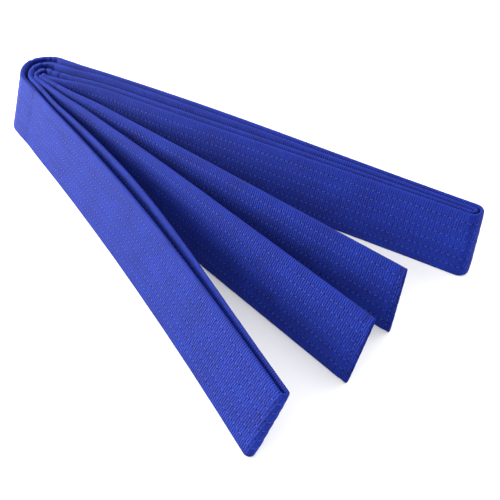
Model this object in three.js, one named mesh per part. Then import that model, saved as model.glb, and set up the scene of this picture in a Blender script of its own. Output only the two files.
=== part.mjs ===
import * as THREE from 'three';

// Martial arts belt, folded into a fan and standing on its edge.
// +X runs along the long stack, +Z is up, the lower edges rest on z = 0.

// Driving dimensions, in mm and degrees
const BELT_WIDTH = 40;
const BELT_THICKNESS = 4;
const COVER_WALL = 0.55;
const LAYER_GAP = 0.15;
const EDGE_CHAMFER = 0.9;
const LANES = 7;
const THREAD_WIDTH = 0.6;
const THREAD_HEIGHT = 0.25;
const THREAD_GAP = 0.06;

// Clear space inside the innermost of the four nested bends, then from each bend to the next
const BEND_SPACES = [2.5, 2.1, 2.2, 1.2];

// Clear space for the thread inside the stack's inner fold, then between its two folds
const INNER_FOLD_AIR = 0.39;
const OUTER_FOLD_AIR = 0.38;

// How far each limb reaches from the middle of the bends
const STACK_REACH = 336;
const LIMB_REACH = 333;
const TAIL_ONE_REACH = 327;
const TAIL_TWO_REACH = 321;

// Directions of the limbs seen from above
const TAIL_TWO_AZIMUTH = -9.6;
const TAIL_ONE_AZIMUTH = -16.5;
const LIMB_AZIMUTH = -23.6;
const LIMB_BOW = 4.4;

// The whole fan leans back: shift in x and y for each unit of height
const TILT_X = 0.1;
const TILT_Y = 0.32;

// Where the limbs flex, measured along each limb from the bend
const HINGE_REACH = 62;
const HINGE_GAP = 1.2;
const HINGE_SETBACK = 2;

// Folded-in hem at both tips
const HEM_LENGTH = 14;
const HEM_STITCH_INSET = 5;
const HEM_STITCH_FOOT = 1.5;

// Section steps
const BEND_STEPS = 9;
const FOLD_STEPS = 7;
const RUN_STEPS = 4;
const LIMB_STEPS = 5;

const RADIANS = Math.PI / 180;

// Middle-line radii, each from the one inside it
const R_TAIL_TWO = BEND_SPACES[0] + BELT_THICKNESS / 2;
const R_TAIL_ONE = R_TAIL_TWO + BELT_THICKNESS + BEND_SPACES[1];
const R_LIMB_INNER = R_TAIL_ONE + BELT_THICKNESS + BEND_SPACES[2];
const R_LIMB_OUTER = R_LIMB_INNER + BELT_THICKNESS + BEND_SPACES[3];
const THREAD_PROUD = THREAD_GAP + THREAD_HEIGHT;
const INNER_FOLD_RADIUS = BELT_THICKNESS / 2 + THREAD_PROUD + INNER_FOLD_AIR;
const OUTER_FOLD_RADIUS = INNER_FOLD_RADIUS + BELT_THICKNESS + 2 * THREAD_PROUD + OUTER_FOLD_AIR;

const MATERIALS = {
  cover: new THREE.MeshStandardMaterial({ name: 'cover', color: 0x1f3fae, roughness: 0.85 }),
  core: new THREE.MeshStandardMaterial({ name: 'core', color: 0xe8e6de, roughness: 0.95 }),
  thread: new THREE.MeshStandardMaterial({ name: 'thread', color: 0x2c4cc4, roughness: 0.6 }),
};

// A station is one place along the belt's middle line: ground point and heading in degrees.
function station(x, y, heading) {
  return { x, y, heading, setback: 0 };
}

function moved(place, distance) {
  const a = place.heading * RADIANS;
  return {
    ...place,
    x: place.x + Math.cos(a) * distance,
    y: place.y + Math.sin(a) * distance,
  };
}

// The same places walked the other way
function reversed(places) {
  return [...places].reverse().map((p) => ({ ...p, heading: p.heading + 180 }));
}

// Places on an arc; turn is +1 for a left turn and -1 for a right turn. Ends are left out.
function arc(cx, cy, radius, fromAngle, toAngle, steps) {
  const turn = Math.sign(toAngle - fromAngle);
  const places = [];
  for (let i = 1; i < steps; i += 1) {
    const angle = fromAngle + ((toAngle - fromAngle) * i) / steps;
    const x = cx + radius * Math.cos(angle * RADIANS);
    const y = cy + radius * Math.sin(angle * RADIANS);
    places.push(station(x, y, angle + 90 * turn));
  }
  return places;
}

// One place on a limb that leaves the bend of the given radius, bowing gently to the right
function limbPlace(radius, azimuth, bow, reach, distance) {
  const up = (azimuth + 90) * RADIANS;
  if (bow === 0) {
    const start = station(-radius * Math.cos(up), -radius * Math.sin(up), azimuth);
    return moved(start, distance);
  }
  const middle = (R_LIMB_INNER + R_LIMB_OUTER) / 2;
  const bowRadius = reach / (bow * RADIANS);
  const swing = (distance / reach) * bow;
  const kx = -(bowRadius + middle) * Math.cos(up);
  const ky = -(bowRadius + middle) * Math.sin(up);
  const angle = azimuth + 90 - swing;
  const own = bowRadius + middle - radius;
  const x = kx + own * Math.cos(angle * RADIANS);
  const y = ky + own * Math.sin(angle * RADIANS);
  return station(x, y, angle - 90);
}

function limbRun(radius, azimuth, bow, reach, from, to, steps) {
  const places = [];
  for (let i = 0; i <= steps; i += 1) {
    const distance = from + ((to - from) * i) / steps;
    places.push(limbPlace(radius, azimuth, bow, reach, distance));
  }
  return places;
}

// The stack's end fold turns around this point
const FOLD_X = STACK_REACH - OUTER_FOLD_RADIUS - BELT_THICKNESS / 2;
const FOLD_Y = (R_TAIL_TWO + R_LIMB_OUTER) / 2;

// Azimuth of a stack run tangent to its bend and to its fold; side is -1 below the fold, +1 above
function runAzimuth(bendRadius, foldRadius, side) {
  const far = Math.hypot(FOLD_X, FOLD_Y);
  const rise = bendRadius - side * foldRadius;
  return Math.atan2(FOLD_Y, FOLD_X) / RADIANS - Math.asin(rise / far) / RADIANS;
}

function stackRun(bendRadius, foldRadius, side) {
  const azimuth = runAzimuth(bendRadius, foldRadius, side);
  const up = (azimuth + 90) * RADIANS;
  const start = [bendRadius * Math.cos(up), bendRadius * Math.sin(up)];
  const end = [FOLD_X + side * foldRadius * Math.cos(up), FOLD_Y + side * foldRadius * Math.sin(up)];
  const places = [];
  for (let i = 0; i <= RUN_STEPS; i += 1) {
    const k = i / RUN_STEPS;
    const x = start[0] + (end[0] - start[0]) * k;
    const y = start[1] + (end[1] - start[1]) * k;
    places.push(station(x, y, azimuth));
  }
  return { azimuth, places };
}

const runOne = stackRun(R_TAIL_TWO, OUTER_FOLD_RADIUS, -1);
const runTwo = stackRun(R_TAIL_ONE, INNER_FOLD_RADIUS, -1);
const runThree = stackRun(R_LIMB_INNER, INNER_FOLD_RADIUS, 1);
const runFour = stackRun(R_LIMB_OUTER, OUTER_FOLD_RADIUS, 1);

const stubEnd = HINGE_REACH - HINGE_GAP / 2;
const limbStart = HINGE_REACH + HINGE_GAP / 2;

function stub(radius, azimuth, bow, reach) {
  return limbRun(radius, azimuth, bow, reach, 0, stubEnd, 1);
}

// Strand from tail two round the stack's outer fold to the left limb
const outerTurn = [
  ...reversed(stub(R_TAIL_TWO, TAIL_TWO_AZIMUTH, 0, TAIL_TWO_REACH)),
  ...arc(0, 0, R_TAIL_TWO, 270 + TAIL_TWO_AZIMUTH, 90 + runOne.azimuth, BEND_STEPS),
  ...runOne.places,
  ...arc(FOLD_X, FOLD_Y, OUTER_FOLD_RADIUS, runOne.azimuth - 90, runFour.azimuth + 90, FOLD_STEPS),
  ...reversed(runFour.places),
  ...arc(0, 0, R_LIMB_OUTER, 90 + runFour.azimuth, 270 + LIMB_AZIMUTH, BEND_STEPS),
  ...stub(R_LIMB_OUTER, LIMB_AZIMUTH, LIMB_BOW, LIMB_REACH),
];

// Strand from the left limb round the stack's inner fold to tail one
const innerTurn = [
  ...reversed(stub(R_LIMB_INNER, LIMB_AZIMUTH, LIMB_BOW, LIMB_REACH)),
  ...arc(0, 0, R_LIMB_INNER, 270 + LIMB_AZIMUTH, 90 + runThree.azimuth, BEND_STEPS),
  ...runThree.places,
  ...arc(FOLD_X, FOLD_Y, INNER_FOLD_RADIUS, runThree.azimuth + 90, runTwo.azimuth - 90, FOLD_STEPS),
  ...reversed(runTwo.places),
  ...arc(0, 0, R_TAIL_ONE, 90 + runTwo.azimuth, 270 + TAIL_ONE_AZIMUTH, BEND_STEPS),
  ...stub(R_TAIL_ONE, TAIL_ONE_AZIMUTH, 0, TAIL_ONE_REACH),
];

// The doubled limb with the fold at the belt's middle
const limbFoldRadius = (R_LIMB_OUTER - R_LIMB_INNER) / 2;
const limbEnd = LIMB_REACH - limbFoldRadius - BELT_THICKNESS / 2;
const limbMiddle = limbPlace(
  (R_LIMB_OUTER + R_LIMB_INNER) / 2, LIMB_AZIMUTH, LIMB_BOW, LIMB_REACH, limbEnd,
);
function limbSide(radius) {
  return limbRun(radius, LIMB_AZIMUTH, LIMB_BOW, LIMB_REACH, limbStart, limbEnd, LIMB_STEPS);
}
const leftLimb = [
  ...limbSide(R_LIMB_OUTER),
  ...arc(
    limbMiddle.x, limbMiddle.y, limbFoldRadius,
    limbMiddle.heading - 90, limbMiddle.heading + 90, FOLD_STEPS,
  ),
  ...reversed(limbSide(R_LIMB_INNER)),
];

const tailOne = limbRun(
  R_TAIL_ONE, TAIL_ONE_AZIMUTH, 0, TAIL_ONE_REACH, limbStart, TAIL_ONE_REACH, LIMB_STEPS,
);
const tailTwo = limbRun(
  R_TAIL_TWO, TAIL_TWO_AZIMUTH, 0, TAIL_TWO_REACH, limbStart, TAIL_TWO_REACH, LIMB_STEPS,
);

// The moving limbs' inner ends are cut back towards both edges, so that they can swing.
tailOne[0].setback = HINGE_SETBACK;
tailTwo[0].setback = HINGE_SETBACK;
leftLimb[0].setback = HINGE_SETBACK;
leftLimb[leftLimb.length - 1].setback = -HINGE_SETBACK;

// Point of a section: across the thickness, up the width, and pushed along the heading
function place(at, across, up, push) {
  const a = at.heading * RADIANS;
  const nx = -Math.sin(a);
  const ny = Math.cos(a);
  const side = across * Math.hypot(1, TILT_X * nx + TILT_Y * ny);
  const rise = up / Math.hypot(TILT_X, TILT_Y, 1);
  const along = push + at.setback * Math.abs((2 * up) / BELT_WIDTH - 1);
  return [
    at.x + nx * side + TILT_X * rise + Math.cos(a) * along,
    at.y + ny * side + TILT_Y * rise + Math.sin(a) * along,
    rise,
  ];
}

// Ten-sided outline with cut corners; the points half way up carry the cut-back ends
function outline(inset, chamfer) {
  const half = BELT_THICKNESS / 2 - inset;
  const low = inset;
  const high = BELT_WIDTH - inset;
  const middle = BELT_WIDTH / 2;
  return [
    [-half, middle], [-half, low + chamfer], [-half + chamfer, low], [half - chamfer, low],
    [half, low + chamfer], [half, middle], [half, high - chamfer], [half - chamfer, high],
    [-half + chamfer, high], [-half, high - chamfer],
  ];
}

function build(points, triangles) {
  const geometry = new THREE.BufferGeometry();
  geometry.setAttribute('position', new THREE.Float32BufferAttribute(points.flat(), 3));
  geometry.setIndex(triangles);
  const flat = geometry.toNonIndexed();
  flat.computeVertexNormals();
  return flat;
}

// Joins ring a to ring b, each given as its first index, with count points
function skin(triangles, a, b, count, inward = false) {
  for (let i = 0; i < count; i += 1) {
    const j = (i + 1) % count;
    if (inward) triangles.push(a + i, a + j, b + j, a + i, b + j, b + i);
    else triangles.push(a + i, b + j, a + j, a + i, b + i, b + j);
  }
}

function fan(triangles, first, count, flip) {
  for (let i = 1; i < count - 1; i += 1) {
    if (flip) triangles.push(first, first + i, first + i + 1);
    else triangles.push(first, first + i + 1, first + i);
  }
}

function trimmed(places, atStart, atEnd) {
  const copy = [...places];
  copy[0] = moved(copy[0], atStart);
  copy[copy.length - 1] = moved(copy[copy.length - 1], -atEnd);
  return copy;
}

// Solid strip with the given outline
function strip(places, shape) {
  const points = places.flatMap((at) => shape.map(([t, h]) => place(at, t, h, 0)));
  const triangles = [];
  const count = shape.length;
  for (let i = 0; i + 1 < places.length; i += 1) {
    skin(triangles, (i + 1) * count, i * count, count);
  }
  fan(triangles, 0, count, false);
  fan(triangles, (places.length - 1) * count, count, true);
  return build(points, triangles);
}

// Hollow strip, open at both ends
function sleeve(places, outer, inner) {
  const count = outer.length;
  const points = places.flatMap((at) => [...outer, ...inner].map(([t, h]) => place(at, t, h, 0)));
  const triangles = [];
  for (let i = 0; i + 1 < places.length; i += 1) {
    const near = i * 2 * count;
    const next = near + 2 * count;
    skin(triangles, next, near, count);
    skin(triangles, next + count, near + count, count, true);
  }
  const last = (places.length - 1) * 2 * count;
  skin(triangles, 0, count, count);
  skin(triangles, last + count, last, count);
  return build(points, triangles);
}

// One stitch row: thread along both faces, closed round the strand's ends
function stitchRow(places, up) {
  const near = BELT_THICKNESS / 2 + THREAD_GAP;
  const far = BELT_THICKNESS / 2 + THREAD_PROUD;
  const points = [];
  const last = places.length - 1;
  for (const side of [1, -1]) {
    for (let k = 0; k <= last; k += 1) {
      const i = side > 0 ? k : last - k;
      const out = Number(i === last) - Number(i === 0);
      const at = places[i];
      points.push(place(at, side * near, up - THREAD_WIDTH / 2, out * THREAD_GAP));
      points.push(place(at, side * far, up, out * THREAD_PROUD));
      points.push(place(at, side * near, up + THREAD_WIDTH / 2, out * THREAD_GAP));
    }
  }
  const rings = points.length / 3;
  const triangles = [];
  for (let i = 0; i < rings; i += 1) {
    skin(triangles, ((i + 1) % rings) * 3, i * 3, 3);
  }
  return build(points, triangles);
}

// Stitching that closes the hem: up one face, over the upper edge and down the other,
// just above the stitch rows
function hemStitch(tip) {
  const near = BELT_THICKNESS / 2 + THREAD_PROUD + THREAD_GAP;
  const rise = BELT_WIDTH + THREAD_GAP;
  const shoulder = BELT_WIDTH - EDGE_CHAMFER;
  const inner = [
    [near, HEM_STITCH_FOOT], [near, shoulder], [near - EDGE_CHAMFER, rise],
    [EDGE_CHAMFER - near, rise], [-near, shoulder], [-near, HEM_STITCH_FOOT],
  ];
  const centre = moved(tip, -HEM_STITCH_INSET);
  const back = moved(centre, -THREAD_WIDTH / 2);
  const front = moved(centre, THREAD_WIDTH / 2);
  const points = [];
  for (const [t, h] of inner) {
    const farT = t + Math.sign(t) * THREAD_HEIGHT;
    const farH = h > shoulder ? h + THREAD_HEIGHT : h;
    points.push(place(back, t, h, 0), place(front, t, h, 0));
    points.push(place(front, farT, farH, 0), place(back, farT, farH, 0));
  }
  const triangles = [];
  for (let i = 0; i + 1 < inner.length; i += 1) {
    skin(triangles, (i + 1) * 4, i * 4, 4);
  }
  fan(triangles, 0, 4, false);
  fan(triangles, (inner.length - 1) * 4, 4, true);
  return build(points, triangles);
}

const group = new THREE.Group();
group.name = 'martial_arts_belt';

function add(name, geometry, material) {
  const mesh = new THREE.Mesh(geometry, material);
  mesh.name = name;
  group.add(mesh);
}

const coverOuter = outline(0, EDGE_CHAMFER);
const coverInner = outline(COVER_WALL, EDGE_CHAMFER * 0.7);
const coreShape = outline(COVER_WALL + LAYER_GAP, EDGE_CHAMFER * 0.6);

const strands = {
  tail_two: { places: tailTwo, hemmed: true },
  outer_turn: { places: outerTurn, hemmed: false },
  left_limb: { places: leftLimb, hemmed: false },
  inner_turn: { places: innerTurn, hemmed: false },
  tail_one: { places: tailOne, hemmed: true },
};

for (const [name, { places, hemmed }] of Object.entries(strands)) {
  add(`${name}_cover`, sleeve(places, coverOuter, coverInner), MATERIALS.cover);
  const coreEnd = hemmed ? HEM_LENGTH + LAYER_GAP : 0.4;
  add(`${name}_core`, strip(trimmed(places, 0.4, coreEnd), coreShape), MATERIALS.core);
  for (let row = 1; row < LANES; row += 1) {
    const up = (BELT_WIDTH * row) / LANES;
    add(`${name}_stitch_row_${row}`, stitchRow(places, up), MATERIALS.thread);
  }
  if (hemmed) {
    const tip = places[places.length - 1];
    add(`${name}_end_hem`, strip([moved(tip, -HEM_LENGTH), tip], coreShape), MATERIALS.cover);
    add(`${name}_hem_stitch`, hemStitch(tip), MATERIALS.thread);
  }
}

// Origin: middle of the footprint, on the surface the belt stands on
const box = new THREE.Box3().setFromObject(group);
const middle = box.getCenter(new THREE.Vector3());
for (const mesh of group.children) {
  mesh.geometry.translate(-middle.x, -middle.y, -box.min.z);
}

export default group;
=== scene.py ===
"""Martial arts belt: quilted cotton, folded into a fan and standing on its edge."""
import math
from functools import partial

import bpy
import numpy as np
from mathutils import Matrix, Vector


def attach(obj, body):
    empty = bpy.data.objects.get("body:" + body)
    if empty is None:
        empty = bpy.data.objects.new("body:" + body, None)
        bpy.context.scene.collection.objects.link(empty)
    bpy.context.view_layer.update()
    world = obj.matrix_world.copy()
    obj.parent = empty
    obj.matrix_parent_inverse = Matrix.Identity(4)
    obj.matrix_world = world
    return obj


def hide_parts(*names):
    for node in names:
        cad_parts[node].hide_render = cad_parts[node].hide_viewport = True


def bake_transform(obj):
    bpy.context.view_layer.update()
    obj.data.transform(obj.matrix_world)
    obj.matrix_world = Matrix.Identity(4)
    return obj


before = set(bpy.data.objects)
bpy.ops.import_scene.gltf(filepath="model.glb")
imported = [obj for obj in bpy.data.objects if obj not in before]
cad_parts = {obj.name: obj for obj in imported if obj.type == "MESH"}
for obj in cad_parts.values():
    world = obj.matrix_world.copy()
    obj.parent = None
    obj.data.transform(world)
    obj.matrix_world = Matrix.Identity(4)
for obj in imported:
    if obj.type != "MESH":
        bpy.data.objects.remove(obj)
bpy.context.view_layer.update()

# ---------------------------------------------------------------- sizes, in mm and degrees
WIDTH, THICK = 40.0, 4.0
EDGE = 0.74  # the long edges are this much of the full thickness
EDGE_BAND = 6.5  # width over which the strip thins towards its long edges
FLAT, QUILT = 1.34, 0.18  # half thickness at the stitch rows, and the padding's rise above it
CROWN = 2.4  # how squarely the padding rises between the stitch rows
LANES = 7
ROW_PITCH = WIDTH / LANES

# The layers lie round one centre. R1 to R4 are their distances from it, inside to outside.
R1, R2, R3, R4 = 4.44, 9.28, 17.23, 20.97
FOLD_IN, FOLD_OUT = 1.65, 4.9  # radii of the stack's two end folds
STACK_REACH, LIMB_REACH = 331.95, 335.42
TAIL_ONE_REACH, TAIL_TWO_REACH = 325.19, 317.59
AZ_TWO, AZ_ONE, AZ_LIMB = -8.74, -15.45, -21.99  # directions of the limbs
BOW = 6.08  # how much the doubled limb turns over its length
RUN_BULGES = (-1.8, -0.7, 0.8, 2.3)  # how far each layer of the stack bows out halfway
RUN_SKEW, LIMB_SKEW = 0.75, 0.8  # below 1, the layers bow and gape most before halfway
LIMB_OPEN = 1.15  # share of the doubled limb's spacing by which it gapes halfway
LIMB_SQUEEZE = 0.15  # share of the doubled limb's spacing that closes towards its fold
EASY_R, EASY_TURN = 2.6, 60.0  # the limb's fold starts as an easy curve, then creases
EASY_BACK = 0.9  # and starts this much before a plain half round fold would

BEND = {R1: 1.9, R2: 7.9, R3: 14.4, R4: 20.1}  # how tightly each layer turns
BEND_EASE = 48.0  # the layers open out from there over this length
SLIDE = {R1: (3.9, -4.8), R2: (3.4, -3.7), R3: (2.1, -1.6), R4: (0.0, 0.0)}  # x and y
SLIDE_EASE = 70.0  # each bend has slid that far, and the layers follow over this length
SHOULDER = 0.10  # the outer layers bulge by this share at one side of the bends
SHOULDER_AT, SHOULDER_SPREAD = 165, 28  # degrees round the bends

# points of the section (mm, degrees, shares of a lane), and stations along the belt
EDGE_ROUND, EDGE_ANGLES = 1.0, (8, 26, 44, 62, 80)
LANE_POINTS, FACE_MARGIN = (0.0, 0.1, 0.28, 0.5, 0.72, 0.9), 1.2
STATIONS_PER_STITCH, TURN_STEP, SMALLEST_STEP = 3, 5, 0.03
REST_BAND = 6.0  # the height over which the section turns from level to leaning

# how the cloth swells and creases
FILLING_WAVE = 0.045
FILLING_RATES = ((0.19, 2.3), (0.071, 4.1))  # radians per mm along, and per lane
CREASED_R, CREASE_GAP = (7, 30), 9  # radii of the bends that crease, and cloth for each crease
CREASE = ((0.35, 0.8), (0.7, 1.4), (7, 22))  # ranges of depth, spread along and spread down
SMALL_CREASE = ((0.1, 0.3), (0.5, 0.9), (4, 9))
CREASE_LOW = 0.35  # share of a crease's depth that it keeps at the lower edge
SWELL_EASE = 14.0
PINCH_BAND, PINCH_SPREAD = 7, 4
PINCH_UP, PINCH_IN, PINCH_OUT = 0.35, 0.45, 0.3  # shares of a pinch's depth

# stitches; HEM is how far the row that closes each hem lies from the tip
STITCH_WANTED = 3.5
# needle holes: how far round each one the cloth dips and its colour is darkened as painted shade,
# how deep it dips, and how long the painted shade runs along the belt
HOLE_REACH, HOLE_DEPTH, HOLE_LENGTH = 0.62, 0.26, 1.30
SIDES = 5
PROFILE = [(0.18, -0.40), (0.27, -0.06), (0.5, 0.05), (0.73, -0.06), (0.82, -0.40)]
THREAD_R, HEM_THREAD_R, THREAD_FLAT = 0.21, 0.22, 0.9
STITCH_SLANT, STITCH_SHIFT = 0.07, 0.05  # how much single stitches stray
HEM = {"tail_two": 1.7, "tail_one": 3.1}
HEM_PITCH, HEM_MARGIN, HEM_CLEAR, HEM_THIN, HEM_PROUD = 3.0, 2.4, 0.4, 0.8, 0.02
HEM_FLATTER, HEM_EASE = 0.16, 3.0  # the cloth from the hem's row to the tip is flatter
HEM_GROOVE, HEM_GROOVE_REACH = 0.3, 0.7
# rings of a folded tip: share of the thickness, how far out, and how much lower
LIPS = [(1.0, 0.30, 0.0), (0.90, 0.70, 0.1), (0.74, 0.85, 0.3),
        (0.56, 0.60, 0.5), (0.50, -0.4, 0.7), (0.46, -3.0, 0.8)]
LIP_STEP = 0.4

# cloth and thread: colours, and sizes in metres
BLUE = (0.0006, 0.013, 0.213)
BLUE_DARK = (0.0002, 0.004, 0.106)
BLUE_LIGHT = (0.0032, 0.029, 0.345)
# painted shade: the colour the cloth is darkened towards at the needle holes and along the hem
# rows
BLUE_HOLE_SHADE = (0.0001, 0.0012, 0.03)
THREAD_BLUE, THREAD_LIGHT = (0.005, 0.025, 0.26), (0.014, 0.050, 0.38)
RIB, YARN = 0.00146, 0.0007  # from rib to rib along the belt, and from yarn to yarn across it
RIB_WOBBLE, RIB_BREAK = 3.0, 1.4  # radians
# painted shade along each hem row: its strength at the row, and the width over which it fades
HEM_LINE_SHADE, HEM_LINE_WIDTH = 0.85, 0.0007

FLOOR_HALF = 3
CAM_PLACE = (0.27860, -0.27858, 0.34160)
CAM_TURN, CAM_DOWN, CAM_ROLL, CAM_LENS = 36.289, 42.013, -3.099, 60.403

SHIFT = (157.804, -64.489)  # from the bends' centre to the frame's origin
CUT = 17.5  # where a limb's piece starts, along the limb
BLEND = (24.0, 100.0)  # two places along a limb; their points are worked out but not used

# lean of the width direction, shift per unit of height, near the bends and far out
LEAN = {
    "stack": ((0.058, 0.216), (0.0, 0.247)),
    "two": ((0.079, 0.281), (0.033, 0.321)),
    "one": ((0.110, 0.336), (0.152, 0.481)),
    "limb": ((0.140, 0.397), (0.275, 0.518)),
}
LEAN_LENGTH = 190.0
NEAR = {name: ends[0] for name, ends in LEAN.items()}
FAR = {name: ends[1] for name, ends in LEAN.items()}

rad = math.radians
rng = np.random.default_rng(7)


def smooth(x):
    x = np.clip(x, 0.0, 1.0)
    return x * x * (3 - 2 * x)


# ---------------------------------------------------------------- the belt's line
def pulled_in(r, d):
    """How much closer than r a layer lies at the distance d from its bend."""
    tight = np.interp(r, list(BEND), list(BEND.values()))
    return (r - tight) * (1 - smooth(d / BEND_EASE))


def slid(r, d):
    """How far a layer has slid, x and y, at the distance d from its bend."""
    k = 1 - smooth(d / SLIDE_EASE)
    x, y = (np.interp(r, list(SLIDE), [v[i] for v in SLIDE.values()]) for i in (0, 1))
    return x * k, y * k


class Piece:
    """One stretch of the line: at(d) gives x, y, heading (radians), lean x, lean y.

    tight is 1 over the radius of a turn, and 0 elsewhere.
    """

    def __init__(self, length, at, tight=0.0):
        self.length, self.at, self.tight = length, at, tight

    def reversed(self):
        def at(d):
            x, y, a, p, q = self.at(self.length - d)
            return x, y, a + math.pi, p, q

        return Piece(self.length, at, self.tight)


def lean_out(name, d):
    near, far = NEAR[name], FAR[name]
    k = smooth(d / LEAN_LENGTH)
    return near[0] + (far[0] - near[0]) * k, near[1] + (far[1] - near[1]) * k


def straight(x0, y0, azimuth, length, name):
    a = rad(azimuth)

    def at(d):
        p, q = lean_out(name, d)
        return x0 + np.cos(a) * d, y0 + np.sin(a) * d, a + 0 * d, p, q

    return Piece(length, at)


def turn(cx, cy, r, from_deg, to_deg, lean_a, lean_b, shoulder=0.0):
    sign = 1 if to_deg > from_deg else -1
    length = r * abs(rad(to_deg - from_deg))

    def at(d):
        k = d / length
        phi = rad(from_deg) + rad(to_deg - from_deg) * k
        p = lean_a[0] + (lean_b[0] - lean_a[0]) * k
        q = lean_a[1] + (lean_b[1] - lean_a[1]) * k
        x = (phi - rad(SHOULDER_AT)) / rad(SHOULDER_SPREAD)
        own = r * (1 + shoulder * np.exp(-x * x))
        slope = -2 * x / rad(SHOULDER_SPREAD) * shoulder * np.exp(-x * x)
        heading = phi + sign * (math.pi / 2 - slope)
        return cx + own * np.cos(phi), cy + own * np.sin(phi), heading, p, q

    return Piece(length, at, tight=1.0 / r)


def limb(r, azimuth, bow, reach, start, end, name):
    """A limb's layer from start to end, measured from the bends: straight, or bowed."""
    up = rad(azimuth + 90)
    if bow == 0:
        x0, y0 = -r * math.cos(up), -r * math.sin(up)
        a = rad(azimuth)

        def at(d):
            e = d + start
            p, q = lean_out(name, e)
            closer = pulled_in(r, e)
            dx, dy = slid(r, e)
            x, y = x0 + dx + closer * math.cos(up), y0 + dy + closer * math.sin(up)
            return x + np.cos(a) * e, y + np.sin(a) * e, a + 0 * e, p, q

        return Piece(end - start, at)
    middle = (R3 + R4) / 2
    big = reach / rad(bow)
    own = big + middle - r
    kx, ky = -(big + middle) * math.cos(up), -(big + middle) * math.sin(up)

    def at(d):
        e = d / (own / big) + start
        phi = up - rad(bow) * e / reach
        p, q = lean_out(name, e)
        k = np.clip(e / reach, 0, 1)
        gape = LIMB_OPEN * np.sin(math.pi * k**LIMB_SKEW) ** 2
        near = own + (R4 - r) * (gape - LIMB_SQUEEZE * smooth(k))
        near = near + pulled_in(r, e)
        dx, dy = slid(r, e)
        return kx + dx + near * np.cos(phi), ky + dy + near * np.sin(phi), phi - math.pi / 2, p, q

    return Piece((end - start) * own / big, at)


FOLD_X = STACK_REACH - FOLD_OUT - THICK / 2
FOLD_Y = (R1 + R4) / 2


def run(r, fold, side, bulge):
    """A layer of the stack, from the bends to one of the end folds."""
    far = math.hypot(FOLD_X, FOLD_Y)
    azimuth = math.degrees(math.atan2(FOLD_Y, FOLD_X) - math.asin((r - side * fold) / far))
    up = rad(azimuth + 90)
    x0, y0 = r * math.cos(up), r * math.sin(up)
    x1 = FOLD_X + side * fold * math.cos(up)
    y1 = FOLD_Y + side * fold * math.sin(up)
    level = straight(x0, y0, azimuth, math.hypot(x1 - x0, y1 - y0), "stack")

    def at(d):
        x, y, a, p, q = level.at(d)
        k = np.clip(d / level.length, 0, 1)
        out = bulge * np.sin(math.pi * k**RUN_SKEW) ** 2 - pulled_in(r, d)
        dx, dy = slid(r, d)
        return x + dx - np.sin(a) * out, y + dy + np.cos(a) * out, a, p, q

    return azimuth, Piece(level.length, at)


az1, run1 = run(R1, FOLD_OUT, -1, RUN_BULGES[0])
az2, run2 = run(R2, FOLD_IN, -1, RUN_BULGES[1])
az3, run3 = run(R3, FOLD_IN, 1, RUN_BULGES[2])
az4, run4 = run(R4, FOLD_OUT, 1, RUN_BULGES[3])

fold_r = (R4 - R3) / 2 * (1 - LIMB_SQUEEZE)
limb_end = LIMB_REACH - fold_r - THICK / 2
# the outer layer rounds gently, then creases back onto the inner one
easy_depth = EASY_R * (1 - math.cos(rad(EASY_TURN)))
CREASE_R = (2 * fold_r - easy_depth) / (1 + math.cos(rad(EASY_TURN)))
outer_end = limb_end - EASY_BACK
inner_end = outer_end + (EASY_R - CREASE_R) * math.sin(rad(EASY_TURN))


def two(start, end):
    return limb(R1, AZ_TWO, 0, 0, start, end, "two")


def one(start, end):
    return limb(R2, AZ_ONE, 0, 0, start, end, "one")


def side(r, start, end):
    return limb(r, AZ_LIMB, BOW, LIMB_REACH, start, end, "limb")


def bent(x, y, heading, r, degrees, lean):
    """A left turn of a radius from a place and heading."""
    cx, cy = x - r * math.sin(heading), y + r * math.cos(heading)
    here = math.degrees(heading)
    return turn(cx, cy, r, here - 90, here - 90 + degrees, lean, lean)


outer_leg = side(R4, CUT, outer_end)
fx, fy, fa = [float(v) for v in outer_leg.at(outer_leg.length)[:3]]
easy = bent(fx, fy, fa, EASY_R, EASY_TURN, FAR["limb"])
fx, fy, fa = [float(v) for v in easy.at(easy.length)[:3]]
crease = bent(fx, fy, fa, CREASE_R, 180 - EASY_TURN, FAR["limb"])

STRANDS = {
    "tail_two": [two(CUT, TAIL_TWO_REACH).reversed()],
    "outer_turn": [
        two(0, CUT).reversed(),
        turn(*SLIDE[R1], BEND[R1], 270 + AZ_TWO, 90 + az1, NEAR["two"], NEAR["stack"]),
        run1,
        turn(FOLD_X, FOLD_Y, FOLD_OUT, az1 - 90, az4 + 90, FAR["stack"], FAR["stack"]),
        run4.reversed(),
        turn(*SLIDE[R4], BEND[R4], 90 + az4, 270 + AZ_LIMB, NEAR["stack"], NEAR["limb"], SHOULDER),
        side(R4, 0, CUT),
    ],
    "left_limb": [
        outer_leg,
        easy,
        crease,
        side(R3, CUT, inner_end).reversed(),
    ],
    "inner_turn": [
        side(R3, 0, CUT).reversed(),
        turn(*SLIDE[R3], BEND[R3], 270 + AZ_LIMB, 90 + az3, NEAR["limb"], NEAR["stack"], SHOULDER),
        run3,
        turn(FOLD_X, FOLD_Y, FOLD_IN, az3 + 90, az2 - 90, FAR["stack"], FAR["stack"]),
        run2.reversed(),
        turn(*SLIDE[R2], BEND[R2], 90 + az2, 270 + AZ_ONE, NEAR["stack"], NEAR["one"],
             SHOULDER / 2),
        one(0, CUT),
    ],
    "tail_one": [one(CUT, TAIL_ONE_REACH)],
}

BELT_LENGTH = sum(p.length for line in STRANDS.values() for p in line)
STITCH = BELT_LENGTH / round(BELT_LENGTH / STITCH_WANTED)


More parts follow.
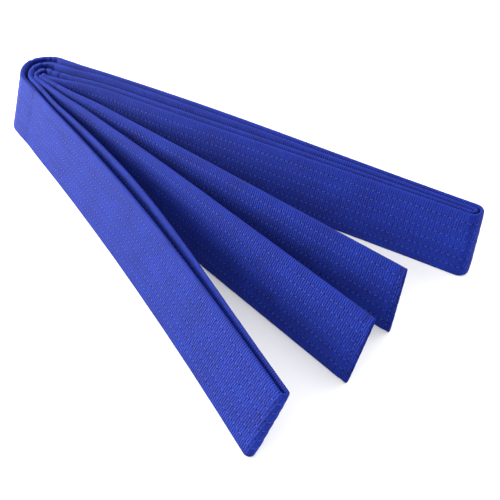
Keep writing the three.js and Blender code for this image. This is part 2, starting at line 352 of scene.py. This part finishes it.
def along(pieces, s0):
    """Stations of a strand: s from the belt's tip, x, y, heading, lean x, lean y."""
    rows = []
    start = s0
    for p in pieces:
        end = start + p.length
        step = STITCH / STATIONS_PER_STITCH
        if p.tight:
            step = min(step, rad(TURN_STEP) / p.tight)
        n = max(1, math.ceil(p.length / step))
        if p.tight:
            s = np.linspace(start, end, n + 1)
        else:
            s = np.arange(math.ceil(start / step), math.floor(end / step) + 1) * step
            s = np.unique(np.round(np.concatenate([[start], s, [end]]), 6))
        keep = [0] + [i for i in range(1, len(s)) if s[i] - s[i - 1] > SMALLEST_STEP]
        s = s[keep]
        s[-1] = end
        at = [np.broadcast_to(np.asarray(v, float), s.shape) for v in p.at(s - start)]
        block = np.stack([s, *at], 1)
        rows.append(block[1:] if rows else block)
        start = end
    st = np.concatenate(rows)
    # the heading follows the line where the layers ease in and out
    dx, dy = np.gradient(st[:, 1], st[:, 0]), np.gradient(st[:, 2], st[:, 0])
    own = np.arctan2(dy, dx)
    st[:, 3] += (own - st[:, 3] + math.pi) % (2 * math.pi) - math.pi
    return st, start


# ---------------------------------------------------------------- the section
def inner(h):
    """0 at the long edges, rising to 1 over the band next to them."""
    return smooth(np.minimum(h, WIDTH - h) / EDGE_BAND)


def section():
    """Points round the section: side (+1, -1), height, share of the half thickness there."""
    face = [ROW_PITCH * (lane + x) for lane in range(LANES) for x in LANE_POINTS]
    face = [h for h in face if FACE_MARGIN < h < WIDTH - FACE_MARGIN]
    edge = [(EDGE_ROUND * (1 - math.cos(a)), math.sin(a)) for a in np.radians(EDGE_ANGLES)]
    up = edge + [(h, 1.0) for h in face] + [(WIDTH - h, k) for h, k in reversed(edge)]
    return [(1, h, k) for h, k in up] + [(-1, h, k) for h, k in reversed(up)]


def puff(h):
    """Half thickness over the width: full between the stitch rows, pulled in at them."""
    lane = np.clip(h / ROW_PITCH, 0, LANES - 1e-9)
    x = lane - np.floor(lane)
    outermost = ((lane < 1) & (x < 0.5)) | ((lane >= LANES - 1) & (x > 0.5))
    rise = np.where(outermost, 1.0, 1 - np.abs(2 * x - 1) ** CROWN)
    return (FLAT + QUILT * rise) * (EDGE + (1 - EDGE) * inner(h))


RING_SIDE, RING_H, RING_EDGE = np.array(section(), float).T
RING_PUFF = puff(RING_H) * RING_EDGE
ROW_OFF = np.abs(RING_H / ROW_PITCH - np.round(RING_H / ROW_PITCH)) * ROW_PITCH
IS_ROW = (ROW_OFF < 0.05) & (RING_H > ROW_PITCH / 2) & (RING_H < WIDTH - ROW_PITCH / 2)
# the second texture coordinate: how far round the section each point lies, and its end
RING_V = np.concatenate([[0], np.cumsum(np.hypot(
    np.diff(RING_H), np.diff(RING_SIDE * RING_PUFF)))])
RING_V_END = RING_V[-1] + 2.0


def frame_at(st):
    """For stations: ground point in mm, level direction, thickness, up and forward vectors."""
    a = st[:, 3]
    n = np.stack([-np.sin(a), np.cos(a), 0 * a], 1)
    d = np.stack([np.cos(a), np.sin(a), 0 * a], 1)
    w = np.stack([st[:, 4], st[:, 5], np.ones(len(st))], 1)
    w /= np.linalg.norm(w, axis=1)[:, None]
    # the level direction is longer where the strip leans, so that it keeps its thickness
    lean = st[:, 4] * n[:, 0] + st[:, 5] * n[:, 1]
    stretch = np.sqrt(1 + lean**2)
    t = np.cross(d, w)
    t /= np.linalg.norm(t, axis=1)[:, None]
    t *= np.sign(np.sum(t * n, 1))[:, None]
    p = np.stack([st[:, 1], st[:, 2], 0 * a], 1)
    return p, n * stretch[:, None], t, w, d


def fuller(s, side_, h):
    """Share by which the padding stands fuller, over stations and points."""
    out = np.zeros((len(s), len(h)))
    for centre, reach, body, rim, only in SWELLS:
        near = smooth((reach - np.abs(s - centre)) / SWELL_EASE)[:, None]
        own = (side_ == only) | (only == 0)
        out += near * (own * (body + rim * (1 - inner(h))))[None, :]
    return out


def crumple_for(spots):
    """Creases: (s, side, depth, spread along, spread down from the top)."""

    def crumple(s, side_, h, edge):
        out = np.zeros((len(s), len(h)))
        for place, sd, depth, spread, tall in spots:
            near = np.exp(-(((s - place) / spread) ** 2))[:, None]
            k = np.exp(-(((WIDTH - h) / tall) ** 2))[None, :]
            k = np.minimum(1.0, CREASE_LOW + (1 - CREASE_LOW) * k)
            out -= sd * depth * near * k * (side_ == sd)[None, :] * edge[None, :]
        return out

    return crumple


def surface(st, crumple, notches):
    """Vertex grid (stations x ring points x 3) in mm, before the shift."""
    p, level, t, w, _ = frame_at(st)
    s = st[:, 0]
    phase = s / STITCH - np.round(s / STITCH)
    hole = np.exp(-((phase * STITCH / HOLE_REACH) ** 2))
    # slow variation of the filling, different in each lane and on each face
    lane = np.minimum(np.floor(RING_H / ROW_PITCH), LANES - 1) + (RING_SIDE > 0) * 11
    wave = sum(np.sin(s[:, None] * rate + lane * shift) for rate, shift in FILLING_RATES)
    half = RING_PUFF + FILLING_WAVE / 2 * wave * np.where(IS_ROW, 0.0, RING_EDGE)
    half -= HOLE_DEPTH * hole[:, None] * IS_ROW
    half *= 1 + fuller(s, RING_SIDE, RING_H)
    across = RING_SIDE * half + crumple(s, RING_SIDE, RING_H, RING_EDGE)
    lift = RING_H + 0 * across
    top = smooth((RING_H - (WIDTH - PINCH_BAND)) / PINCH_BAND)[None, :]
    for place, depth, wide in notches:
        near = np.exp(-(((s - place) / wide) ** 2))[:, None]
        lump = np.exp(-(((s - place) / (PINCH_SPREAD * wide)) ** 2))[:, None] - near
        lift = lift + depth * top * (PINCH_UP * lump - near)
        across = across * (1 - PINCH_IN * near * top)
        across = across + RING_SIDE * PINCH_OUT * depth * lump * top * RING_EDGE
    # near the lower edge the thickness is level, so that the belt rests on the floor
    low = 1 - smooth(RING_H / REST_BAND)
    direction = t[:, None, :] * (1 - low[None, :, None]) + level[:, None, :] * low[None, :, None]
    return p[:, None, :] + w[:, None, :] * lift[:, :, None] + direction * across[:, :, None]


def to_row(v):
    """Millimetres from the bends' centre to metres in the frame."""
    out = np.array(v, float)
    out[..., 0] -= SHIFT[0]
    out[..., 1] -= SHIFT[1]
    return out / 1000.0


def make_mesh(name, verts, faces, uvs=None):
    mesh = bpy.data.meshes.new(name)
    mesh.from_pydata([tuple(v) for v in verts], [], faces)
    mesh.update()
    mesh.polygons.foreach_set("use_smooth", [True] * len(mesh.polygons))
    if uvs is not None:
        layer = mesh.uv_layers.new(name="belt")
        layer.data.foreach_set("uv", np.array(uvs, np.float32).reshape(-1))
    ob = bpy.data.objects.new(name, mesh)
    bpy.context.scene.collection.objects.link(ob)
    return ob


def skin_object(name, grid, s):
    """Closed mesh over a vertex grid; s is each row's place along the belt."""
    n, count = grid.shape[:2]
    v = list(RING_V) + [RING_V_END]
    faces, uvs = [], []
    for i in range(n - 1):
        here, there = i * count, (i + 1) * count
        for j in range(count):
            k = (j + 1) % count
            faces.append((here + j, there + j, there + k, here + k))
            uvs += [(s[i], v[j]), (s[i + 1], v[j]), (s[i + 1], v[j + 1]), (s[i], v[j + 1])]
    faces.append(tuple(range(count)))
    faces.append(tuple(reversed(range((n - 1) * count, n * count))))
    uvs += [(s[0], v[j]) for j in range(count)]
    uvs += [(s[-1], v[j]) for j in reversed(range(count))]
    ob = make_mesh(name, to_row(grid.reshape(-1, 3)), faces, np.array(uvs) / 1000.0)
    for cap in (-1, -2):  # flat ends, so that the shading runs on from strand to strand
        ob.data.polygons[cap].use_smooth = False
    return ob


def tip_rings(grid, st, at_end):
    """Folded-in hem at a tip: two rounded lips with a narrow groove between them."""
    p, _, t, w, d = frame_at(st)
    i = -1 if at_end else 0
    out = d[i] if at_end else -d[i]
    centre = p[i] + w[i] * (WIDTH / 2)
    rel = grid[i] - centre
    thick, tall = rel @ t[i], rel @ w[i]
    rings = []
    for share, push, lower in LIPS:
        kept = np.sign(tall) * np.maximum(np.abs(tall) - lower, 0)
        rings.append(centre + t[i] * (thick * share)[:, None] + w[i] * kept[:, None] + out * push)
    return rings


# ---------------------------------------------------------------- creases, swells and pinches
def bend_spots(strand):
    """Creases on both faces of one strand's nested bends, deeper on the inner face."""
    spots = []
    start = LINES[strand][1]
    for p in STRANDS[strand]:
        if p.tight and CREASED_R[0] < 1 / p.tight < CREASED_R[1]:
            left = 1 if p.at(p.length)[2] > p.at(0.0)[2] else -1
            n = max(2, int(p.length / CREASE_GAP))
            for k in range(n):
                place = start + p.length * (k + 0.5 + rng.uniform(-0.3, 0.3)) / n
                spots.append((place, left, *[rng.uniform(*r) for r in CREASE]))
                near = place + rng.uniform(-1, 1)
                spots.append((near, -left, *[rng.uniform(*r) for r in SMALL_CREASE]))
        start += p.length
    return spots


def span(strand, index):
    """Where one piece of a strand starts along the belt, and its length."""
    start = LINES[strand][1] + sum(p.length for p in STRANDS[strand][:index])
    return start, STRANDS[strand][index].length


def pinches(strand, index, marks):
    """Pinches in the top edge: a mark is a share of the piece's length, a depth and a width."""
    start, length = span(strand, index)
    return [(start + share * length, depth, wide) for share, depth, wide in marks]


def swell(strand, index, body, rim, only=0, extra=22):
    """A stretch round a piece, unpressed by its neighbours, with fuller body and rims."""
    start, length = span(strand, index)
    return start + length / 2, length / 2 + extra, body, rim, only


LINES = {}
s_at = 0.0
for strand, line in STRANDS.items():
    st, s_next = along(line, s_at)
    LINES[strand] = (st, s_at, s_next)
    s_at = s_next

CREASES = {strand: bend_spots(strand) for strand in STRANDS}
# the last one is the inside of the limb's fold, whose rims are pressed thin
SWELLS = [
    swell("outer_turn", 1, 0.10, 0.34), swell("outer_turn", 5, 0.26, 0.44),
    swell("inner_turn", 1, 0.24, 0.42), swell("inner_turn", 5, 0.10, 0.34),
    swell("left_limb", 2, 0.0, -0.55, 1, 130),
]
NOTCHES = {
    "outer_turn": pinches("outer_turn", 1, [(0.5, 1.1, 0.8), (1.6, 0.5, 0.6)])
    + pinches("outer_turn", 5, [(0.18, 0.4, 0.6), (0.47, 0.6, 0.7), (0.8, 0.25, 0.6)]),
    "inner_turn": pinches(
        "inner_turn", 1, [(0.12, 0.3, 0.7), (0.4, 0.7, 0.7), (0.64, 0.6, 0.7)])
    + pinches("inner_turn", 5, [
        (-0.45, 0.6, 0.8), (-0.12, 0.8, 0.8), (0.22, 0.9, 0.7), (0.52, 1.0, 0.7),
        (0.8, 0.6, 0.7)]),
}


# ---------------------------------------------------------------- materials
def clear_nodes(name):
    mat = bpy.data.materials.new(name)
    mat.use_nodes = True
    nt = mat.node_tree
    nt.nodes.clear()
    out = nt.nodes.new("ShaderNodeOutputMaterial")
    shader = nt.nodes.new("ShaderNodeBsdfPrincipled")
    nt.links.new(shader.outputs["BSDF"], out.inputs["Surface"])
    return mat, nt, shader


def math_node(nt, op, a, b=None, clamp=False):
    node = nt.nodes.new("ShaderNodeMath")
    node.operation = op
    node.use_clamp = clamp
    for i, v in enumerate((a, b)):
        if isinstance(v, (int, float)):
            node.inputs[i].default_value = v
        elif v is not None:
            nt.links.new(v, node.inputs[i])
    return node.outputs[0]


def sums(nt):
    """Functions that add, subtract, multiply and divide in a node tree."""
    return [partial(math_node, nt, op) for op in ("ADD", "SUBTRACT", "MULTIPLY", "DIVIDE")]


def noise(nt, where, scale, detail, rough=0.55):
    mapping = nt.nodes.new("ShaderNodeMapping")
    mapping.inputs["Scale"].default_value = scale
    nt.links.new(where, mapping.inputs["Vector"])
    node = nt.nodes.new("ShaderNodeTexNoise")
    node.inputs["Scale"].default_value = 1.0
    node.inputs["Detail"].default_value = detail
    node.inputs["Roughness"].default_value = rough
    nt.links.new(mapping.outputs["Vector"], node.inputs["Vector"])
    return node.outputs["Fac"]


def ramp(nt, fac, stops):
    node = nt.nodes.new("ShaderNodeValToRGB")
    while len(node.color_ramp.elements) < len(stops):
        node.color_ramp.elements.new(0.5)
    for e, (pos, col) in zip(node.color_ramp.elements, stops):
        e.position, e.color = pos, (*col, 1)
    nt.links.new(fac, node.inputs["Fac"])
    return node.outputs["Color"]


def add_bump(nt, shader, height, strength, distance):
    bump = nt.nodes.new("ShaderNodeBump")
    bump.inputs["Strength"].default_value = strength
    bump.inputs["Distance"].default_value = distance
    nt.links.new(height, bump.inputs["Height"])
    nt.links.new(bump.outputs["Normal"], shader.inputs["Normal"])


def needle_hole_shade(nt, u, v):
    """Painted shade mask: 1 at the needle holes and along the hem rows, on both faces, falling to
    0 round them.
    """
    add, sub, mul, div = sums(nt)
    phase = math_node(nt, "FRACT", add(div(u, STITCH / 1000), 0.5))
    du = mul(math_node(nt, "ABSOLUTE", sub(phase, 0.5)), STITCH)
    total = None
    for j in np.nonzero(IS_ROW)[0]:
        dv = math_node(nt, "ABSOLUTE", mul(sub(v, float(RING_V[j]) / 1000), 1000.0))
        hit = sub(1.0, div(dv, HOLE_REACH), True)
        total = hit if total is None else math_node(nt, "MAXIMUM", total, hit)
    total = mul(total, sub(1.0, div(du, HOLE_LENGTH), True))
    for place in (HEM["tail_two"], BELT_LENGTH - HEM["tail_one"]):
        off = math_node(nt, "ABSOLUTE", sub(u, place / 1000))
        line = sub(HEM_LINE_SHADE, div(off, HEM_LINE_WIDTH), True)
        total = math_node(nt, "MAXIMUM", total, line)
    return total


def cloth():
    """Ribbed cotton: fine ribs across the belt, crossing yarns, soft colour variation, and painted
    shade at the needle holes and along the hem rows.
    """
    mat, nt, shader = clear_nodes("blue_ribbed_cotton")
    add, sub, mul, div = sums(nt)
    uv = nt.nodes.new("ShaderNodeUVMap")
    uv.uv_map = "belt"
    where = uv.outputs["UV"]
    sep = nt.nodes.new("ShaderNodeSeparateXYZ")
    nt.links.new(where, sep.inputs[0])
    u, v = sep.outputs["X"], sep.outputs["Y"]
    wobble = mul(sub(noise(nt, where, (300, 420, 1), 2.0), 0.5), RIB_WOBBLE)
    brick = math_node(nt, "FLOOR", div(v, ROW_PITCH / 2000))
    rib_phase = add(add(mul(u, 2 * math.pi / RIB), wobble), mul(brick, RIB_BREAK))
    rib = math_node(nt, "SINE", rib_phase)
    yarn = math_node(nt, "SINE", add(mul(v, 2 * math.pi / YARN), mul(rib_phase, 0.5)))
    broken = noise(nt, where, (900, 330, 1), 2.0, 0.6)
    fine = noise(nt, where, (5200, 5200, 1), 2.0, 0.6)
    height = add(add(add(mul(rib, 0.42), mul(yarn, 0.12)), mul(broken, 1.5)), mul(fine, 0.3))
    add_bump(nt, shader, height, 1.0, 0.00042)
    cloud = noise(nt, where, (45, 90, 1), 4.0)
    tone = add(add(mul(cloud, 0.40), mul(broken, 0.55)), mul(rib, 0.05))
    colour = ramp(nt, tone, [(0.22, BLUE_DARK), (0.48, BLUE), (0.8, BLUE_LIGHT)])
    # painted shade: the cloth's colour is darkened at the needle holes and along the hem rows
    hole_shade_mix = nt.nodes.new("ShaderNodeMix")
    hole_shade_mix.data_type = "RGBA"
    hole_shade_mix.inputs["B"].default_value = (*BLUE_HOLE_SHADE, 1)
    nt.links.new(needle_hole_shade(nt, u, v), hole_shade_mix.inputs["Factor"])
    nt.links.new(colour, hole_shade_mix.inputs["A"])
    nt.links.new(hole_shade_mix.outputs["Result"], shader.inputs["Base Color"])
    nt.links.new(add(mul(broken, 0.2), 0.62), shader.inputs["Roughness"])
    shader.inputs["Specular IOR Level"].default_value = 0.15
    shader.inputs["Sheen Weight"].default_value = 0.03
    shader.inputs["Sheen Roughness"].default_value = 0.45
    shader.inputs["Sheen Tint"].default_value = (0.6, 0.7, 1.0, 1.0)
    return mat


def thread():
    """Twisted sewing thread, a little lighter and glossier than the cloth."""
    mat, nt, shader = clear_nodes("blue_sewing_thread")
    where = nt.nodes.new("ShaderNodeTexCoord").outputs["Object"]
    tone = noise(nt, where, (900, 900, 900), 2.0)
    colour = ramp(nt, tone, [(0.3, THREAD_BLUE), (0.7, THREAD_LIGHT)])
    nt.links.new(colour, shader.inputs["Base Color"])
    add_bump(nt, shader, noise(nt, where, (2600, 2600, 2600), 1.0), 0.3, 0.00006)
    shader.inputs["Roughness"].default_value = 0.5
    shader.inputs["Specular IOR Level"].default_value = 0.35
    return mat


CLOTH, THREAD = cloth(), thread()


# ---------------------------------------------------------------- how each strand is fastened
# the strands that are baked in place rather than attached to the bundle; the names paired with
# them are not used
BODY = {"tail_two": "tail_two", "left_limb": "left_limb", "tail_one": "tail_one"}


def blend_ends(strand):
    """Start and end points, in metres, of a stretch along a limb."""
    line = {
        "tail_two": two(0, BLEND[1]),
        "tail_one": one(0, BLEND[1]),
        "left_limb": side((R3 + R4) / 2, 0, BLEND[1]),
    }[strand]
    return [to_row([*(float(v) for v in line.at(d)[:2]), 0.0]) for d in BLEND]


def fasten(ob, strand):
    if strand in BODY:
        a, b = blend_ends(strand)
        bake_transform(ob)
    else:
        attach(ob, "bundle")


# ---------------------------------------------------------------- covers
def with_tip(strand, grid, st):
    """A tail's grid and places with the hem pressed flatter and its lips added."""
    at_end = strand == "tail_one"
    far = np.abs(st[:, 0] - st[-1 if at_end else 0, 0]) - HEM[strand]
    press = 1 - HEM_FLATTER * (1 - smooth(far / HEM_EASE))
    press = press - HEM_GROOVE * np.exp(-((far / HEM_GROOVE_REACH) ** 2))
    p, _, _, w, _ = frame_at(st)
    middle = p[:, None, :] + w[:, None, :] * RING_H[None, :, None]
    grid = middle + (grid - middle) * press[:, None, None]
    rings = tip_rings(grid, st, at_end)
    s = list(st[:, 0])
    steps = [LIP_STEP * (k + 1) for k in range(len(rings))]
    if at_end:
        return np.concatenate([grid, rings]), s + [s[-1] + step for step in steps]
    return np.concatenate([rings[::-1], grid]), [s[0] - step for step in reversed(steps)] + s


for strand, (st, s0, s1) in LINES.items():
    grid = surface(st, crumple_for(CREASES[strand]), NOTCHES.get(strand, ()))
    s = list(st[:, 0])
    names = [f"{strand}_cover", f"{strand}_core"]
    if strand in HEM:
        grid, s = with_tip(strand, grid, st)
        names.append(f"{strand}_end_hem")
    ob = skin_object(f"{strand}_quilted_cover", grid, s)
    ob.data.materials.append(CLOTH)
    fasten(ob, strand)
    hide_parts(*names)


# ---------------------------------------------------------------- stitches
def station_at(strand, s):
    """Interpolated station rows of a strand at the given places."""
    st = LINES[strand][0]
    return np.stack([s] + [np.interp(s, st[:, 0], st[:, k]) for k in range(1, 6)], 1)


def thread_ring(centre, across, out, radius):
    """Points round a thread that lies flattened on the cloth."""
    turns = [2 * math.pi * k / SIDES for k in range(SIDES)]
    return [centre + (across * math.cos(a) + out * math.sin(a) * THREAD_FLAT) * radius
            for a in turns]


def thread_faces(base, flipped):
    """Faces of one stitch, whose rings start at the vertex base; both its ends are closed."""
    faces = []
    for r in range(len(PROFILE) - 1):
        for k in range(SIDES):
            a, b = base + r * SIDES + k, base + r * SIDES + (k + 1) % SIDES
            face = (a, a + SIDES, b + SIDES, b)
            faces.append((a, b, b + SIDES, a + SIDES) if flipped else face)
    first = tuple(range(base, base + SIDES))
    last = tuple(v + (len(PROFILE) - 1) * SIDES for v in first)
    return faces + ([first[::-1], last] if flipped else [first, last[::-1]])


def stitch_mesh(strand, h):
    """Stitches of one row on both faces: short threads that dive in at each needle hole."""
    st, s0, s1 = LINES[strand]
    starts = np.arange(math.ceil(s0 / STITCH), math.floor(s1 / STITCH)) * STITCH
    if strand == "tail_two":
        starts = starts[starts > s0 + HEM[strand] + HEM_CLEAR]
    if strand == "tail_one":
        starts = starts[starts + STITCH < s1 - HEM[strand] - HEM_CLEAR]
    half = float(puff(h))
    crumple = crumple_for(CREASES[strand])
    row_h = np.array([h])
    per_stitch = len(PROFILE) * SIDES
    verts, faces, base = [], [], 0
    for sd in (1, -1):
        face = np.array([sd])
        slant = rng.normal(0, STITCH_SLANT, len(starts))
        height = rng.normal(0, STITCH_SHIFT, len(starts))
        rings = []
        for f, rise in PROFILE:
            s = starts + f * STITCH
            p, _, t, w, _ = frame_at(station_at(strand, s))
            up = h + height + slant * (f - 0.5) * 2
            out = sd * (half * (1 + fuller(s, face, row_h))[:, 0] + rise)
            out = out + crumple(s, face, row_h, np.ones(1))[:, 0]
            centre = p + w * up[:, None] + t * out[:, None]
            rings.append(np.stack(thread_ring(centre, w, t * sd, THREAD_R), 1))
        # stitches x rings x sides x 3
        verts.append(np.stack(rings, 1).reshape(-1, 3))
        for i in range(len(starts)):
            faces += thread_faces(base + i * per_stitch, sd < 0)
        base += len(starts) * per_stitch
    return np.concatenate(verts), faces


for strand in STRANDS:
    for row in range(1, LANES):
        v, f = stitch_mesh(strand, ROW_PITCH * row)
        ob = make_mesh(f"{strand}_lockstitch_row_{row}", to_row(v), f)
        ob.data.materials.append(THREAD)
        fasten(ob, strand)
        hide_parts(f"{strand}_stitch_row_{row}")


def hem_row(strand):
    """Stitches across the width that close a tip's hem, on both faces."""
    st, s0, s1 = LINES[strand]
    where = s0 + HEM[strand] if strand == "tail_two" else s1 - HEM[strand]
    p, _, t, w, d = [m[0] for m in frame_at(station_at(strand, np.array([where])))]
    verts, faces = [], []
    for sd in (1, -1):
        for h0 in np.arange(HEM_MARGIN, WIDTH - HEM_MARGIN - HEM_PITCH * 0.9, HEM_PITCH):
            base = len(verts)
            sway = rng.normal(0, STITCH_SHIFT)
            for f, rise in PROFILE:
                h = h0 + f * HEM_PITCH
                out = float(puff(h)) * HEM_THIN + rise * HEM_THIN + HEM_PROUD
                centre = p + w * h + t * sd * out + d * sway
                verts += thread_ring(centre, d, t * sd, HEM_THREAD_R)
            faces += thread_faces(base, sd > 0)
    return np.array(verts), faces


for strand in ("tail_one", "tail_two"):
    v, f = hem_row(strand)
    ob = make_mesh(f"{strand}_hem_lockstitch", to_row(v), f)
    ob.data.materials.append(THREAD)
    fasten(ob, strand)
    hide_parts(f"{strand}_hem_stitch")


# ---------------------------------------------------------------- floor, lights, camera
floor_mat, nt, shader = clear_nodes("pale_floor")
shader.inputs["Base Color"].default_value = (0.93, 0.93, 0.93, 1)
shader.inputs["Roughness"].default_value = 0.9
shader.inputs["Specular IOR Level"].default_value = 0.0
corners = [(x * FLOOR_HALF, y * FLOOR_HALF, 0) for x, y in ((-1, -1), (1, -1), (1, 1), (-1, 1))]
floor = make_mesh("floor", corners, [(0, 1, 2, 3)])
floor.data.materials.append(floor_mat)

world = bpy.data.worlds.new("studio")
bpy.context.scene.world = world
world.use_nodes = True
back = world.node_tree.nodes["Background"]
back.inputs["Color"].default_value = (1, 1, 1, 1)
back.inputs["Strength"].default_value = 0.99


def area(name, where, size, power, colour=(1, 1, 1)):
    """An area light that faces the belt's middle; where and size are in metres."""
    data = bpy.data.lights.new(name, "AREA")
    data.shape = "RECTANGLE"
    data.size, data.size_y = size
    data.energy = power
    data.color = colour
    ob = bpy.data.objects.new(name, data)
    ob.location = where
    ob.rotation_euler = (-Vector(where)).to_track_quat("-Z", "Y").to_euler()
    bpy.context.scene.collection.objects.link(ob)


# the photo's left is about (-0.81, -0.59) on the floor
area("key", (-1.20, -0.30, 0.42), (0.6, 0.5), 47, (1.0, 0.98, 0.88))
area("top", (0.30, 0.95, 1.00), (0.9, 0.9), 12)
area("fill", (1.10, -0.70, 0.30), (0.6, 0.4), 6)


def camera():
    """Camera at the photo's place: turned about the vertical, tipped down, rolled."""
    turned = Matrix.Rotation(rad(CAM_TURN), 3, "Z")
    down, roll = rad(CAM_DOWN), rad(CAM_ROLL)
    fwd = turned @ Vector((0, math.cos(down), -math.sin(down)))
    right = turned @ Vector((1, 0, 0))
    up = turned @ Vector((0, math.sin(down), math.cos(down)))
    r = right * math.cos(roll) + up * math.sin(roll)
    u = -right * math.sin(roll) + up * math.cos(roll)
    data = bpy.data.cameras.new("camera")
    data.sensor_width, data.lens = 36, CAM_LENS
    data.clip_start, data.clip_end = 0.01, 50
    ob = bpy.data.objects.new("camera", data)
    m = Matrix((r, u, -fwd)).transposed().to_4x4()
    m.translation = CAM_PLACE
    ob.matrix_world = m
    bpy.context.scene.collection.objects.link(ob)
    bpy.context.scene.camera = ob


camera()
bpy.context.scene.view_settings.view_transform = "Standard"
bpy.context.scene.view_settings.look = "None"
